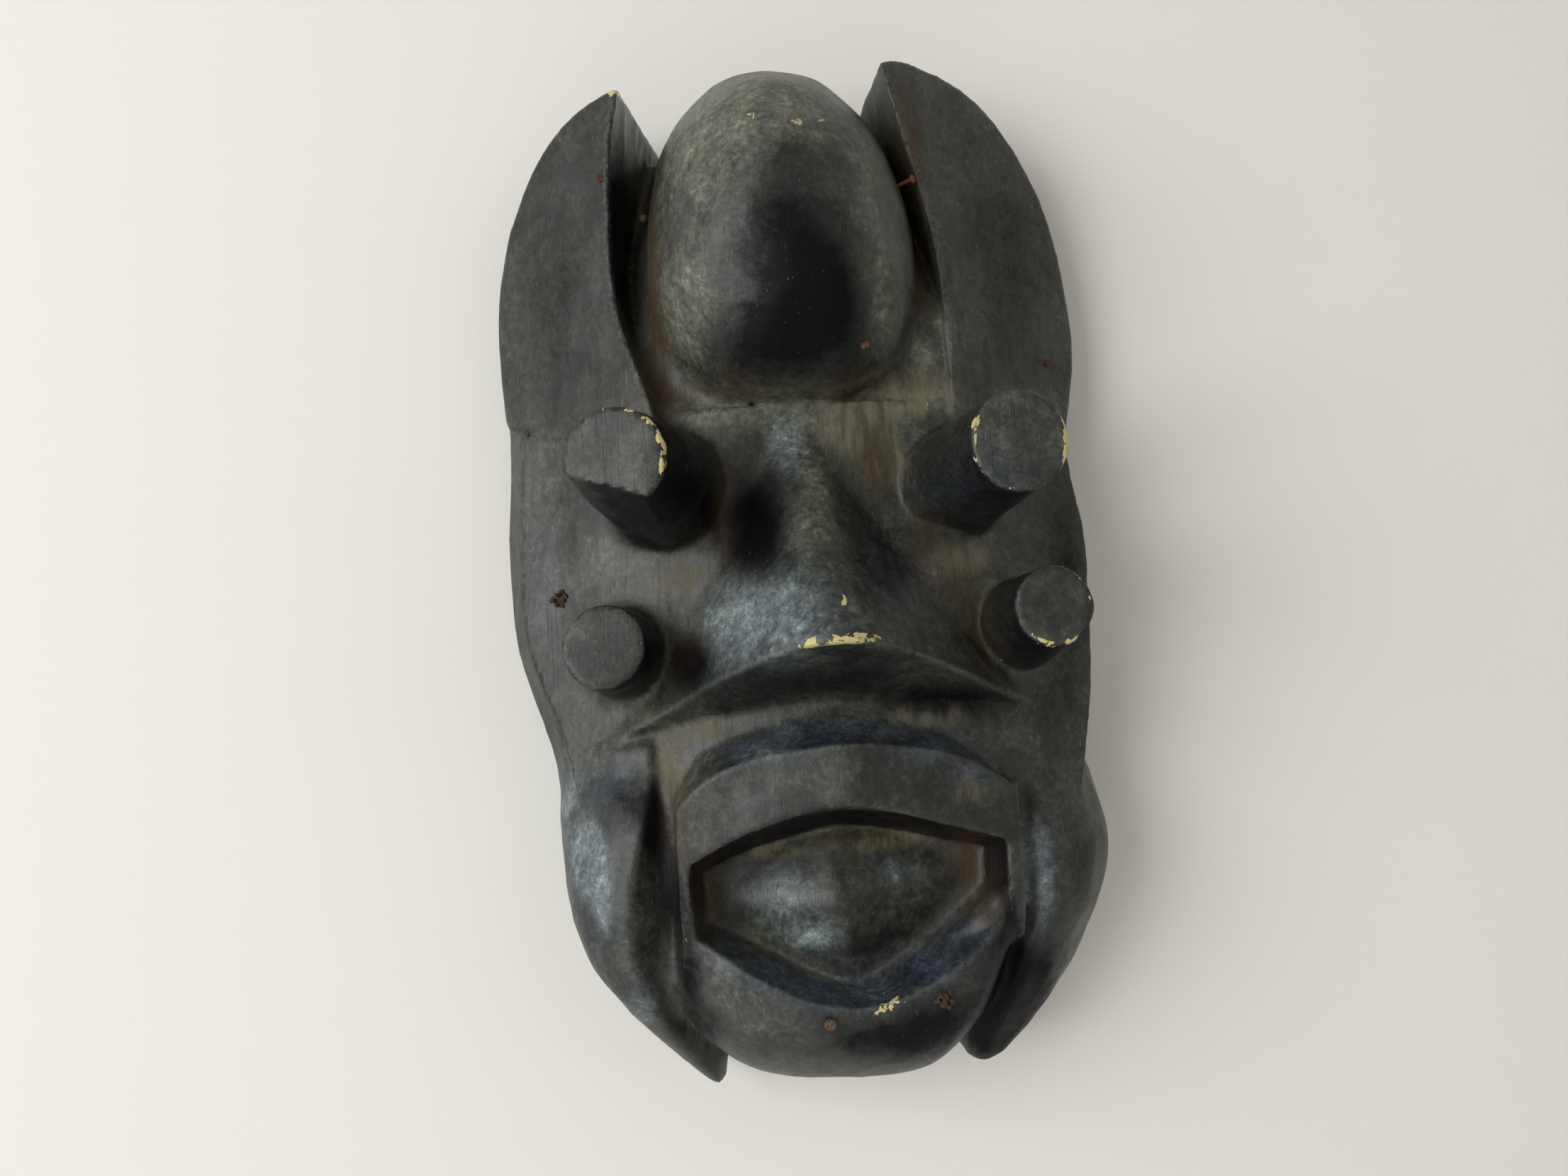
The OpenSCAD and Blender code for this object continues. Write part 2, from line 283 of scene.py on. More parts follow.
def crown(p):
    """Forehead dome, the beds of the grooves beside it, and the slab of the crown behind it."""
    floor = plane(p, (-60, 190, 28), (60, 190, 28), (0, 76, 66))
    fill = plane(p, (56, 150, 42), (66, 150, 42), (60, 100, 71))
    slab = rounded_max(CROWN(p), p[2] - 46, 4)
    inside = np.maximum(np.abs(p[0]) - 66, np.maximum(50 - p[1], p[1] - 186))
    left_bed = rounded_max(floor, p[2] - 65.5, 4)
    right_bed = rounded_max(np.maximum(fill, 40 - p[0]), p[2] - 69.5, 4)
    bed = np.maximum(rounded_min(left_bed, right_bed, 5), inside)
    return rounded_min(rounded_min(bed, dome(p), 10), slab, 2)


def nose(p):
    """Wedge of two flanks with a scooped underside and a sloping bridge."""
    left = plane(p, (-2, 60, 80), (4, -32, 146), (-68, -52, 74))
    right = plane(p, (-2, 60, 80), (8, -32, 146), (80, -54, 72))
    scoop = 4.0 * np.sin(np.pi * np.clip((138 - p[2]) / 54, 0, 1))
    under = (-p[1] - 33 - (138 - p[2]) * 0.43 + scoop) / np.hypot(1, 0.5)
    top = plane(p, (-4, 64, 77), (26, 64, 79), (3, -32, 138))
    flanks = rounded_max(rounded_max(left, right, 15), top, 8)
    return np.maximum(rounded_max(flanks, under, 2.0), CHEEKS(p) + 5)


# Fall of the two outer facets of a tusk for each millimetre away from its ridge
OUTER_FALL = 0.40
BEVEL_FALL = 1.25


def tusk(p, outline, ridge, foot, side):
    """Tusk of three long facets: inner slope, outer face and outer bevel."""
    away = side * (p[0] - across(ridge, p[1]))
    top = across(ridge, p[1], 2)
    width = side * (across(ridge, p[1]) - across(foot, p[1]))
    fall = (top - across(foot, p[1], 2)) / np.maximum(width, 3)
    inner = (p[2] - top - away * fall) / np.hypot(1, fall)
    outer = (p[2] - top + away * OUTER_FALL) / np.hypot(1, OUTER_FALL)
    bevel = (p[2] - top - 15 + away * BEVEL_FALL) / np.hypot(1, BEVEL_FALL)
    front = rounded_max(rounded_max(outer, bevel, 4.0), inner, 2.5)
    return rounded_max(front, outline(p), 7.0)


def muzzle(p):
    """Block that carries both lips, its front split into a left and a right plane."""
    level = plane(p, (0, -60, 88), (40, -60, 88), (0, -90, 91))
    slopes = rounded_max(plane(p, (-30, -60, 88), (-30, -90, 90), (-66, -90, 72)),
                         plane(p, (34, -60, 88), (34, -90, 90), (74, -90, 74)), 6)
    lower = plane(p, (-60, -128, 78), (60, -128, 78), (0, -168, 30))
    base = rounded_max(rounded_max(level, slopes, 12), lower, 8)
    base = np.maximum(base, CHEEKS(p) + 8)
    left = plane(p, (5, -70, 110), (5, -110, 109), (-60, -100, 96))
    right = plane(p, (5, -70, 110), (5, -110, 109), (68, -100, 94))
    front = rounded_max(left, right, 1.2)
    height = np.interp(p[0], [v[0] for v in LIP_TOP], [v[1] for v in LIP_TOP])
    rise = np.interp(p[0], [v[0] for v in COVE], [v[1] for v in COVE])
    back = np.clip((108 - p[2]) / 20, 0, 2)
    bevel = (p[1] - height - rise * back ** 1.6) / 1.15
    posts = plane(p, (0, -112, 112), (60, -112, 112), (0, -150, 87))
    lip = rounded_max(rounded_max(rounded_max(front, bevel, 1.4), posts, 8), -152 - p[1], 2.0)
    upper = rounded_max(lip, np.maximum(-60 - p[0], p[0] - 73), 1.5)
    chin = egg(p, (8, -150, 40), (72, 57, 64), 2.6 + 0.9 * np.clip((p[1] + 168) / 16, 0, 1))
    flank = (p[0] - across(CHIN_EDGE, p[1]) + (p[2] - 70) * 0.4) / 1.15
    chin = rounded_max(rounded_max(chin, flank, 5), p[1] + 122, 8)
    return rounded_min(rounded_min(base, upper, 2), chin, 5)


# Depths of the rim and of the floor of the mouth
RIM_DEPTH = 104
FLOOR_DEPTH = 73


def mouth(p):
    """Opening between the lips, narrower at its floor than at its rim."""
    share = np.clip((RIM_DEPTH - p[2]) / (RIM_DEPTH - FLOOR_DEPTH), -0.4, 1.1)
    walls = (MOUTH_RIM(p) * (1 - share) + MOUTH_FLOOR(p) * share) / 1.05
    return rounded_max(walls, FLOOR_DEPTH - p[2], 3)


def tongue(p):
    """Low pyramid of facets that stands on the floor of the mouth."""
    left = plane(p, (-1, -116, 88), (0, -130, 94), (-42, -128, 74))
    right = plane(p, (-1, -116, 88), (0, -130, 94), (52, -126, 74))
    low_left = plane(p, (0, -130, 94), (-38, -141, 73), (4, -158, 86))
    low_right = plane(p, (0, -130, 94), (40, -144, 74), (4, -158, 86))
    top = plane(p, (-1, -116, 88), (-30, -114, 76), (-1, -105, 80))
    upper = rounded_max(rounded_max(left, right, 1.5), top, 5)
    facets = rounded_max(upper, rounded_max(low_left, low_right, 2), 3)
    foot = plane(p, (-43, -128, 73), (-43, -140, 73), (-36, -128, 84))
    foot = np.maximum(foot, plane(p, (52, -128, 73), (52, -140, 73), (44, -128, 84)))
    return np.maximum(rounded_max(facets, foot, 2), MOUTH_FLOOR(p) - 2)


def front_solid(p):
    """The relief: every feature of the face, each blended into those before it."""
    face = cheeks(p)
    left_horn = horn(p, LEFT_HORN, LEFT_EDGE, 0.30, -1, ((-127, 60, 28), (-70, 60, 72), (-70, 200, 70)))
    right_horn = horn(p, RIGHT_HORN, RIGHT_EDGE, 0.05, 1, ((131, 60, 28), (62, 60, 74), (62, 200, 74)))
    body = rounded_min(face, crown(p), 8)
    body = rounded_min(body, nose(p), 3)
    body = rounded_min(body, left_horn, 2.5)
    body = rounded_min(body, right_horn, 2.5)
    left_eye = tube(p, (-51, 34, 60), (-71, 36, 140), 25.2, 19)
    left_eye = rounded_max(left_eye, 0.93 * (12.5 - p[1]) - 0.37 * (p[0] + 60) + (p[2] - 80) * 0.13, 1)
    right_eye = tube(p, (61, 29, 60), (74, 34, 140), 23.5, 18.8)
    right_eye = rounded_max(right_eye, 0.96 * (11 - p[1]) - 0.28 * (p[0] - 66) + (p[2] - 80) * 0.07, 1)
    body = rounded_min(rounded_min(body, left_eye, 8), right_eye, 8)
    body = rounded_min(body, tube(p, (-75, -31, 56), (-81, -28, 111), 18.5, 15.7), 7)
    body = rounded_min(body, tube(p, (87, -31, 56), (89, -25, 111), 19.5, 15.5), 7)
    body = rounded_min(body, tusk(p, LEFT_TUSK, LEFT_RIDGE, LEFT_FOOT, -1), 4)
    body = rounded_min(body, tusk(p, RIGHT_TUSK, RIGHT_RIDGE, RIGHT_FOOT, 1), 4)
    body = rounded_min(body, muzzle(p), 2.5)
    body = rounded_max(body, -mouth(p), 1.2)
    curl = limb(p, [(48, -150, 84, 5.5), (57, -144, 87, 6.5), (64, -138, 87, 7.5)])
    return rounded_min(rounded_min(body, tongue(p), 2.5), curl, 2.5)


# Hollow behind the face, and the seat that lets the ring hanger lie below the back plane
BOWL_CENTRE = (0, -20, 0)
BOWL_RADII = (105, 165, 52)
BOWL_POWER = 2.3
SEAT_HALF_WIDTH = 14
SEAT_DEPTH = 6
SEAT_LOW, SEAT_HIGH = 130, 208


def hollow(p):
    """The bowl hollowed out from behind, together with the seat of the hanger."""
    bowl = egg(p, BOWL_CENTRE, BOWL_RADII, BOWL_POWER)
    seat = np.maximum(np.abs(p[0]) - SEAT_HALF_WIDTH, p[2] - SEAT_DEPTH)
    seat = np.maximum(seat, np.maximum(SEAT_LOW - p[1], p[1] - SEAT_HIGH))
    return np.minimum(bowl, seat)


def carving(p):
    """The whole carving: the relief, less the hollow, in front of the back plane."""
    return rounded_max(np.maximum(front_solid(p), -hollow(p)), -p[2], 1.0)


# ---- from the field to a mesh ----
def gradient(field, points, step=0.4):
    """Unit outward direction of the field at each point of an n by 3 array."""
    out = np.empty_like(points)
    for axis in range(3):
        shift = np.zeros(3)
        shift[axis] = step
        ahead, behind = points + shift, points - shift
        out[:, axis] = field(ahead.T) - field(behind.T)
    return out / (np.linalg.norm(out, axis=1, keepdims=True) + 1e-9)


def sample(field, low, count, cell):
    """Field on a grid, worked out only near the surface that a coarse grid finds."""
    block = 4
    axes = [low[i] + cell * np.arange(count[i]) for i in range(3)]
    coarse = [low[i] + cell * block * (np.arange(-(-count[i] // block)) + 0.5) for i in range(3)]
    grid = np.meshgrid(*coarse, indexing="ij")
    rough = field([g.ravel() for g in grid]).reshape(grid[0].shape)
    for axis in range(3):
        rough = np.repeat(rough, block, axis)
    values = rough[:count[0], :count[1], :count[2]].copy()
    near = np.nonzero(np.abs(values) < cell * block * 1.3)
    values[near] = field([axes[i][near[i]] for i in range(3)])
    return values


CENTRE_PULL = 0.08      # how strongly a vertex stays in the middle of its crossings


def contour(field, low, high, cell):
    """Dual contouring: one vertex in each cell that the surface crosses, on its sharp edges.

    Returns the vertices in face units and the quads that join them."""
    low = np.array(low, float)
    count = np.ceil((np.array(high, float) - low) / cell).astype(int) + 1
    values = sample(field, low, count, cell)
    inside = values < 0
    cells = tuple(count - 1)
    found, quads = [], []
    for axis in range(3):
        a = [slice(None)] * 3
        b = [slice(None)] * 3
        a[axis], b[axis] = slice(None, -1), slice(1, None)
        start = inside[tuple(a)]
        at = np.array(np.nonzero(start != inside[tuple(b)]))
        v0, v1 = values[tuple(a)][tuple(at)], values[tuple(b)][tuple(at)]
        point = low + cell * at.T
        point[:, axis] += cell * v0 / (v0 - v1)
        normal = gradient(field, point)
        i, j = (axis + 1) % 3, (axis + 2) % 3
        corners = []
        for di, dj in ((0, 0), (1, 0), (1, 1), (0, 1)):
            home = at.copy()
            home[i] -= di
            home[j] -= dj
            corners.append(np.ravel_multi_index(tuple(home), cells, mode="clip"))
        found += [(home, point, normal) for home in corners]
        quad = np.array(corners).T
        flip = ~start[tuple(at)]
        quad[flip] = quad[flip][:, ::-1]
        quads.append(quad)
    home = np.concatenate([f[0] for f in found])
    point = np.concatenate([f[1] for f in found])
    normal = np.concatenate([f[2] for f in found])
    used, home = np.unique(home, return_inverse=True)
    total = len(used)
    share = np.bincount(home, minlength=total)
    centre = np.stack([np.bincount(home, point[:, k], total) for k in range(3)], 1) / share[:, None]
    reach = np.einsum("ij,ij->i", normal, point - centre[home])
    pull = np.stack([np.bincount(home, normal[:, k] * reach, total) for k in range(3)], 1)
    spread = np.empty((total, 3, 3))
    for r in range(3):
        for c in range(3):
            spread[:, r, c] = np.bincount(home, normal[:, r] * normal[:, c], total)
    spread += CENTRE_PULL * np.eye(3)
    move = np.linalg.solve(spread, pull[:, :, None])[:, :, 0]
    corner = low + cell * np.array(np.unravel_index(used, cells)).T
    vertices = np.clip(centre + move, corner - 0.1 * cell, corner + 1.1 * cell)
    faces = np.searchsorted(used, np.concatenate(quads))
    return vertices, faces


def smooth_mesh(name, places, faces):
    """Mesh, shaded smooth, of places in metres."""
    mesh = bpy.data.meshes.new(name)
    mesh.from_pydata(places.tolist(), [], faces.tolist())
    mesh.polygons.foreach_set("use_smooth", [True] * len(mesh.polygons))
    mesh.update()
    return mesh


# ---- the carved wood ----
CELL = 1.7        # size of a grid cell
SEARCH_LOW = (-136, -222, -5)
SEARCH_HIGH = (142, 226, 150)

# Cuts of the blades: how many, how wide, how much longer up the mask, and how deep
KNIFE_CUTS = (900, 9.0, 1.7)
KNIFE_DEPTH = 0.35
ADZE_CUTS = (1500, 8.0, 1.3)
ADZE_DEPTH = 1.5

# The flat ends of the tubes: higher than this, further out than the nose, nearly facing the front
TUBE_TOP = 105
NOSE_SIDE = 50
END_FACING = 0.8
END_SMOOTH = 0.15               # share of the blades' cuts that they get

# How far to look for wood in front of the surface and for air behind it, and the weight of each
CAVITY_LOOKS = ((3, 0.3), (8, 0.35), (18, 0.35))
EDGE_LOOKS = ((1.6, 0.5), (4, 0.5))

# Depth above which the sides of the tubes are black, and the height of the lower lip
TUBE_FOOT = 58
LOWER_LIP = -138
# Strength of the painted shade on the walls of the mouth
MOUTH_SHADE = 0.9


def worked(p):
    """The carving with the slight unevenness of handwork, a millimetre at most."""
    x, z, d = p[0], p[1], p[2]
    sway_x = 0.7 * np.sin(z / 31 + 1.3) + 0.35 * np.sin(z / 11 + d / 17)
    sway_z = 0.6 * np.sin(x / 23 + 0.4) + 0.3 * np.sin(x / 9 + z / 29)
    sway_d = 0.5 * np.sin(x / 19 + z / 37) + 0.3 * np.sin(x / 8 - z / 13)
    return carving((x + sway_x, z + sway_z, d + sway_d * np.clip(d / 20, 0, 1)))


def tool_marks(points, count, spacing, stretch):
    """Depth from 0 on a ridge to 1 in the bottom of a cut, over cuts laid at random points."""
    rng = np.random.default_rng(SEED)
    scale = np.array([1.0, 1 / stretch, 1.0])
    seeds = points[rng.choice(len(points), count, replace=False)] * scale
    tree = kdtree.KDTree(count)
    for index, seed in enumerate(seeds):
        tree.insert(seed, index)
    tree.balance()
    depth = np.empty(len(points))
    for index, point in enumerate(points * scale):
        near = tree.find_n(point, 2)
        depth[index] = near[1][2] - near[0][2]
    return np.clip(depth / spacing, 0, 1) ** 0.7


def blot(points, spots):
    """Sum of soft round spots x, z, half width, half height, strength, seen from the front."""
    total = np.zeros(len(points))
    for x, z, wide, high, strength in spots:
        near = ((points[:, 0] - x) / wide) ** 2 + ((points[:, 1] - z) / high) ** 2
        total += strength * np.exp(-near)
    return np.clip(total, 0, 1)


# Spots on the front of the mask: x, z, half width, half height, strength. TUBE_SIDES are where
# the sides of the tubes are black; the other tables are named after the look that they give, and
# some of their spots are painted light and shade, as the comment above each table says
# Soot, and painted shadow and shade: the shadows of the eye tubes on the nose, the shade on the wall of
# the left groove, under the nose and on the right horn
SOOT_AND_SHADE = [(-3, 118, 20, 28, 0.95), (-8, 86, 24, 13, 0.95), (15, 98, 14, 20, 0.7), (-22, 14, 13, 22, 1.2),
        (-49, -35, 9, 12, 0.95), (0, -46, 46, 7, 0.6), (-66, 140, 6, 50, 1.0), (100, 130, 26, 60, 0.53),
        (-68, -97, 7, 15, 1.1), (-63, -125, 7, 18, 1.1), (-58, -157, 6, 16, 0.8), (-51, -178, 7, 12, 0.7),
        (60, -171, 9, 17, 0.9), (64, -196, 10, 14, 0.9), (74, -182, 17, 26, 1.5), (100, -125, 8, 26, 0.4),
        (3, -181, 16, 8, 0.55), (46, -150, 10, 8, 0.4), (64, -126, 5, 12, 0.7), (66, -60, 20, 12, 0.6),
        (-52, 30, 10, 14, 0.7), (100, -60, 16, 22, 0.4), (-40, -139, 6, 6, 0.5), (6, -152, 12, 4, 0.5),
        (20, -148, 12, 5, 0.5), (34, -140, 11, 5, 0.5), (46, -130, 8, 6, 0.5), (66, -150, 5, 14, 0.9),
        (20, -185, 22, 10, 0.45), (40, -58, 20, 7, 0.8), (-80, -86, 10, 12, 0.6), (-38, 22, 5, 8, 0.9),
        (112, 0, 12, 44, 0.6), (34, -180, 18, 14, 0.8), (-97, 125, 26, 60, 0.52), (50, 12, 9, 20, 0.4)]
# Rubbed pale paint, and painted highlights: the bluish sheen of a window on the tusks, the left flank of
# the nose, the tongue and the lips
PALE_AND_HIGHLIGHT = [(-22, -21, 24, 18, 1.0), (-5, 48, 9, 14, 0.75), (-95, -111, 6.5, 11, 2.4),
        (-90, -128, 3.5, 11, 1.0), (-78, -168, 7, 12, 0.6), (-105, -89, 9, 20, 0.5),
        (-82, -77, 10, 8, 0.3), (-21, -130, 15, 13, 0.6), (-9, -145, 11, 6, 0.8), (24, -123, 7, 6, 0.5),
        (-33, -90, 32, 9, 0.2), (-26, -71, 14, 4, 0.5), (82, -128, 6, 16, 1.7), (80, -148, 4, 12, 0.3),
        (-112, 10, 14, 44, 0.3), (-44, -40, 8, 10, 0.3), (-52, -20, 10, 8, 0.3)]
# Worn olive paint, and a painted sheen on the top of the dome
WORN_AND_SHEEN = [(-41, 104, 12, 26, 0.85), (-31, 160, 18, 26, 0.6), (-6, 186, 32, 24, 1.6), (34, 101, 9, 20, 0.6),
        (-33, 65, 24, 8, 1.0), (0, 64, 22, 7, 0.7), (65, 97, 4, 9, 1.0), (54, 86, 7, 8, 0.9),
        (50, 67, 18, 9, 0.8), (-43, -161, 14, 12, 0.4), (-60, -74, 14, 8, 0.5), (-30, -60, 20, 5, 0.4),
        (-84, 8, 24, 12, 0.5), (4, 40, 9, 24, 0.8), (-7, 8, 11, 14, 0.5), (30, 140, 12, 24, 0.4),
        (62, -2, 18, 9, 0.5)]
DUST = [(21, 56, 15, 13, 1.2), (50, 67, 20, 11, 1.1), (64, -2, 16, 8, 0.9), (40, -63, 22, 5, 1.0),
        (-47, -63, 16, 6, 0.6), (-62, -80, 8, 14, 0.8), (-25, -112, 16, 4, 1.0), (23, -111, 20, 4, 0.9),
        (-33, 62, 24, 9, 0.4), (-50, -2, 14, 8, 0.6), (52, 24, 7, 12, 0.6), (36, 40, 8, 14, 0.8),
        (56, -92, 12, 6, 0.5), (-72, 60, 12, 8, 0.4)]
BARE = [(-55, 112, 6, 60, 1.0), (55, 150, 6, 50, 0.9), (-48, -128, 6, 15, 1.0), (56, -126, 7, 15, 1.0),
        (23, -111, 24, 4, 0.7), (31, 40, 7, 16, 0.8), (48, 10, 6, 18, 0.8), (60, -12, 6, 18, 0.8),
        (-33, 26, 5, 22, 0.7), (-52, -18, 7, 20, 0.7), (0, 74, 60, 5, 0.8), (-60, -92, 5, 20, 0.7),
        (68, -30, 6, 18, 0.6), (-40, -66, 20, 4, 0.4)]
# Blue grey paint in patches, and painted reflection in the bands along the top of the upper lip and of
# the lower lip
BLUE_AND_REFLECTION = [(10, -66, 34, 4, 1.0), (41, -75, 13, 5, 1.0), (-26, -71, 16, 5, 0.6), (57, -86, 8, 5, 0.7),
        (-47, -146, 8, 5, 1.0), (-29, -155, 12, 5, 1.0), (-11, -163, 12, 5, 1.0), (10, -165, 12, 5, 1.0),
        (32, -158, 12, 5, 1.0), (50, -149, 9, 6, 1.0), (-86, -84, 14, 10, 0.6), (-95, -130, 16, 30, 0.3),
        (60, 20, 14, 12, 0.5), (80, -140, 14, 30, 0.3), (30, -14, 16, 20, 0.3)]
CHIPPED = [(-5, -34, 7, 4, 0.7), (7, -33, 9, 4, 0.7), (16, -31, 6, 4, 0.7), (-62, 52, 9, 6, 1.2),
           (-53, 38, 5, 11, 1.2), (-90, 34, 4, 12, 0.4), (56, 38, 5, 11, 1.2), (91, 32, 5, 13, 1.2),
           (89, 46, 4, 4, 1.0), (66, 20, 8, 6, 0.6), (-81, -28, 20, 20, 0.5), (86, -40, 13, 5, 1.2),
           (101, -16, 5, 11, 1.1), (74, -27, 3, 7, 0.8), (-113, 168, 7, 14, 1.3), (-66, 204, 8, 4, 1.3),
           (60, -90, 10, 8, 0.3), (92, 198, 20, 10, 0.4), (-124, 90, 4, 30, 0.3)]
FLECKED = [(-12, 171, 5, 4, 0.9), (3, 166, 7, 4, 0.9), (15, 169, 4, 4, 0.8), (10, -171, 4, 3, 1.0),
           (19, -168, 7, 3, 1.1), (8, -19, 1.6, 6, 1.0), (-88, -126, 3, 5, 0.6), (85, -117, 3, 4, 0.7),
           (0, -27, 8, 8, 0.5), (54, 64, 8, 8, 0.4), (-20, -150, 14, 8, 0.3), (58, -90, 6, 5, 0.5)]
TUBE_SIDES = [(-60, 32, 26, 26, 1.3), (70, 26, 26, 26, 0.95), (-76, -30, 20, 20, 1.2),
              (90, -30, 22, 22, 1.2)]


def carved_mesh():
    """Mesh of the carving, with a layer of values for each thing the paint depends on."""
    vertices, faces = contour(worked, SEARCH_LOW, SEARCH_HIGH, CELL)
    normals = gradient(worked, vertices)
    depth = hollow(vertices.T)
    inner = np.clip(np.where(normals[:, 2] < 0, 2 - depth / 4, 1.3 - depth / 1.5), 0, 1)
    rear = np.clip(1 - vertices[:, 2] / 1.2, 0, 1)
    back = np.maximum(inner, rear)
    knife = tool_marks(vertices, *KNIFE_CUTS)
    adze = tool_marks(vertices, *ADZE_CUTS)
    cut = KNIFE_DEPTH * knife * (1 - back) + ADZE_DEPTH * adze * inner
    flat_end = (vertices[:, 2] > TUBE_TOP) & (np.abs(vertices[:, 0]) > NOSE_SIDE)
    flat_end &= normals[:, 2] > END_FACING
    vertices = vertices - normals * (cut * np.where(flat_end, END_SMOOTH, 1))[:, None]

    cavity = np.zeros(len(vertices))
    for reach, weight in CAVITY_LOOKS:
        open_way = worked((vertices + normals * reach).T) / reach
        cavity += weight * np.clip(1 - open_way, 0, 1)
    edge = np.zeros(len(vertices))
    for reach, weight in EDGE_LOOKS:
        below = worked((vertices - normals * reach).T) / reach
        edge += weight * np.clip(1 + below, 0, 1)
    layers = {"cavity": cavity, "edge": edge, "back": back, "end": flat_end.astype(float)}
    for name, spots in (("soot_and_shade", SOOT_AND_SHADE), ("pale_and_highlight", PALE_AND_HIGHLIGHT), ("worn_and_sheen", WORN_AND_SHEEN), ("dust", DUST), ("bare", BARE),
                        ("blue_and_reflection", BLUE_AND_REFLECTION), ("chipped", CHIPPED), ("flecked", FLECKED)):
        layers[name] = blot(vertices, spots) * (1 - back)
    # The sides of the tubes stay black, and dust lies only round their feet
    turned = np.clip((0.92 - normals[:, 2]) / 0.3, 0, 1)
    turned *= np.clip((vertices[:, 2] - TUBE_FOOT) / 10, 0, 1)
    layers["soot_and_shade"] = np.maximum(layers["soot_and_shade"], turned * blot(vertices, TUBE_SIDES))
    # So are the walls of the mouth, above its lower lip: painted shade of the recess under the upper lip
    steep = np.clip((0.8 - normals[:, 2]) / 0.3, 0, 1)
    steep *= np.clip((vertices[:, 1] - LOWER_LIP) / 8, 0, 1)
    steep *= np.clip(-MOUTH_RIM(vertices.T) + 0.5, 0, 1) * np.clip(MOUTH_FLOOR(vertices.T) + 3, 0, 1)
    layers["soot_and_shade"] = np.maximum(layers["soot_and_shade"], MOUTH_SHADE * steep * (1 - back))
    # From the nose up, whatever stands out far stays free of dust and bare wood
    low = np.where(vertices[:, 1] > -45, np.clip((94 - vertices[:, 2]) / 12, 0, 1), 1)
    layers["dust"] *= low
    layers["bare"] *= low

    places = np.stack([vertices[:, 0], BACK - vertices[:, 2], vertices[:, 1] - HOOK], 1) * MM
    places[:, 1] = np.minimum(places[:, 1], BACK * MM)
    mesh = smooth_mesh("mask_carving", places, faces)
    for name, values in layers.items():
        layer = mesh.attributes.new(name, "FLOAT", "POINT")
        layer.data.foreach_set("value", values.astype(np.float32))
    return mesh


# ---- materials ----
class Finish:
    """A node material under construction; each method adds a node and returns its output."""

    def __init__(self, name):
        self.material = bpy.data.materials.new(name)
        self.material.use_nodes = True
        self.tree = self.material.node_tree
        self.shader = self.tree.nodes["Principled BSDF"]
        self.place = self.node("ShaderNodeTexCoord").outputs["Object"]

    def node(self, kind, **settings):
        made = self.tree.nodes.new(kind)
        for name, value in settings.items():
            setattr(made, name, value)
        return made

    def plug(self, socket, value):
        if isinstance(value, bpy.types.NodeSocket):
            self.tree.links.new(value, socket)
        else:
            socket.default_value = value

    def layer(self, name):
        return self.node("ShaderNodeAttribute", attribute_name=name).outputs["Fac"]

    def stretched(self, x, y, z):
        mapping = self.node("ShaderNodeMapping")
        self.plug(mapping.inputs["Vector"], self.place)
        mapping.inputs["Scale"].default_value = (x, y, z)
        return mapping.outputs["Vector"]

    def noise(self, scale, detail=3.0, rough=0.55, warp=0.0, vector=None):
        made = self.node("ShaderNodeTexNoise")
        self.plug(made.inputs["Vector"], self.place if vector is None else vector)
        for name, setting in (("Scale", scale), ("Detail", detail), ("Roughness", rough),
                              ("Distortion", warp)):
            made.inputs[name].default_value = setting
        return made.outputs["Fac"]

    def math(self, operation, a, b=0.0, c=0.0, clamp=False):
        made = self.node("ShaderNodeMath", operation=operation, use_clamp=clamp)
        for socket, value in zip(made.inputs, (a, b, c)):
            self.plug(socket, value)
        return made.outputs[0]

    def span(self, value, low, high, to_low=0.0, to_high=1.0):
        """Value spread from low..high over to_low..to_high, with soft ends."""
        made = self.node("ShaderNodeMapRange", interpolation_type="SMOOTHSTEP")
        for name, setting in (("Value", value), ("From Min", low), ("From Max", high),
                              ("To Min", to_low), ("To Max", to_high)):
            self.plug(made.inputs[name], setting)
        return made.outputs["Result"]

    def mix(self, share, a, b, blend="MIX"):
        made = self.node("ShaderNodeMix", data_type="RGBA", blend_type=blend)
        self.plug(made.inputs["Factor"], share)
        for name, value in (("A", a), ("B", b)):
            socket = [s for s in made.inputs if s.name == name and s.type == "RGBA"][0]
            self.plug(socket, (*value, 1.0) if isinstance(value, tuple) else value)
        return [s for s in made.outputs if s.type == "RGBA"][0]

    def ragged(self, layer, pattern, reach):
        """A soft spot whose rim is broken up by a pattern, as soot and wear really end."""
        moved = self.math("MULTIPLY_ADD", self.math("SUBTRACT", pattern, 0.5), reach, layer)
        return self.math("MULTIPLY", self.span(moved, 0.05, 0.95), self.span(layer, 0.02, 0.25))

    def tint(self, share, colour, factor):
        """Colour multiplied by a factor, as far as the share goes."""
        return self.mix(share, colour, self.mix(1.0, colour, factor, "MULTIPLY"))

    def bump(self, height, distance, strength=1.0, under=None):
        made = self.node("ShaderNodeBump")
        self.plug(made.inputs["Height"], height)
        made.inputs["Distance"].default_value = distance
        made.inputs["Strength"].default_value = strength
        if under is not None:
            self.plug(made.inputs["Normal"], under)
        return made.outputs["Normal"]

    def done(self, colour, roughness, normal=None, metallic=0.0):
        self.plug(self.shader.inputs["Base Color"],
                  (*colour, 1.0) if isinstance(colour, tuple) else colour)
        self.plug(self.shader.inputs["Roughness"], roughness)
        self.plug(self.shader.inputs["Metallic"], metallic)
        if normal is not None:
            self.plug(self.shader.inputs["Normal"], normal)
        return self.material


# Colours of the paint, of what lies on it, of the painted light and shade, and of the wood under it
SLATE_DARK, SLATE = (0.013, 0.0150, 0.0125), (0.036, 0.0395, 0.0335)
# Olive of worn paint, and of the painted sheen
WORN_OLIVE_AND_SHEEN = (0.090, 0.095, 0.075)
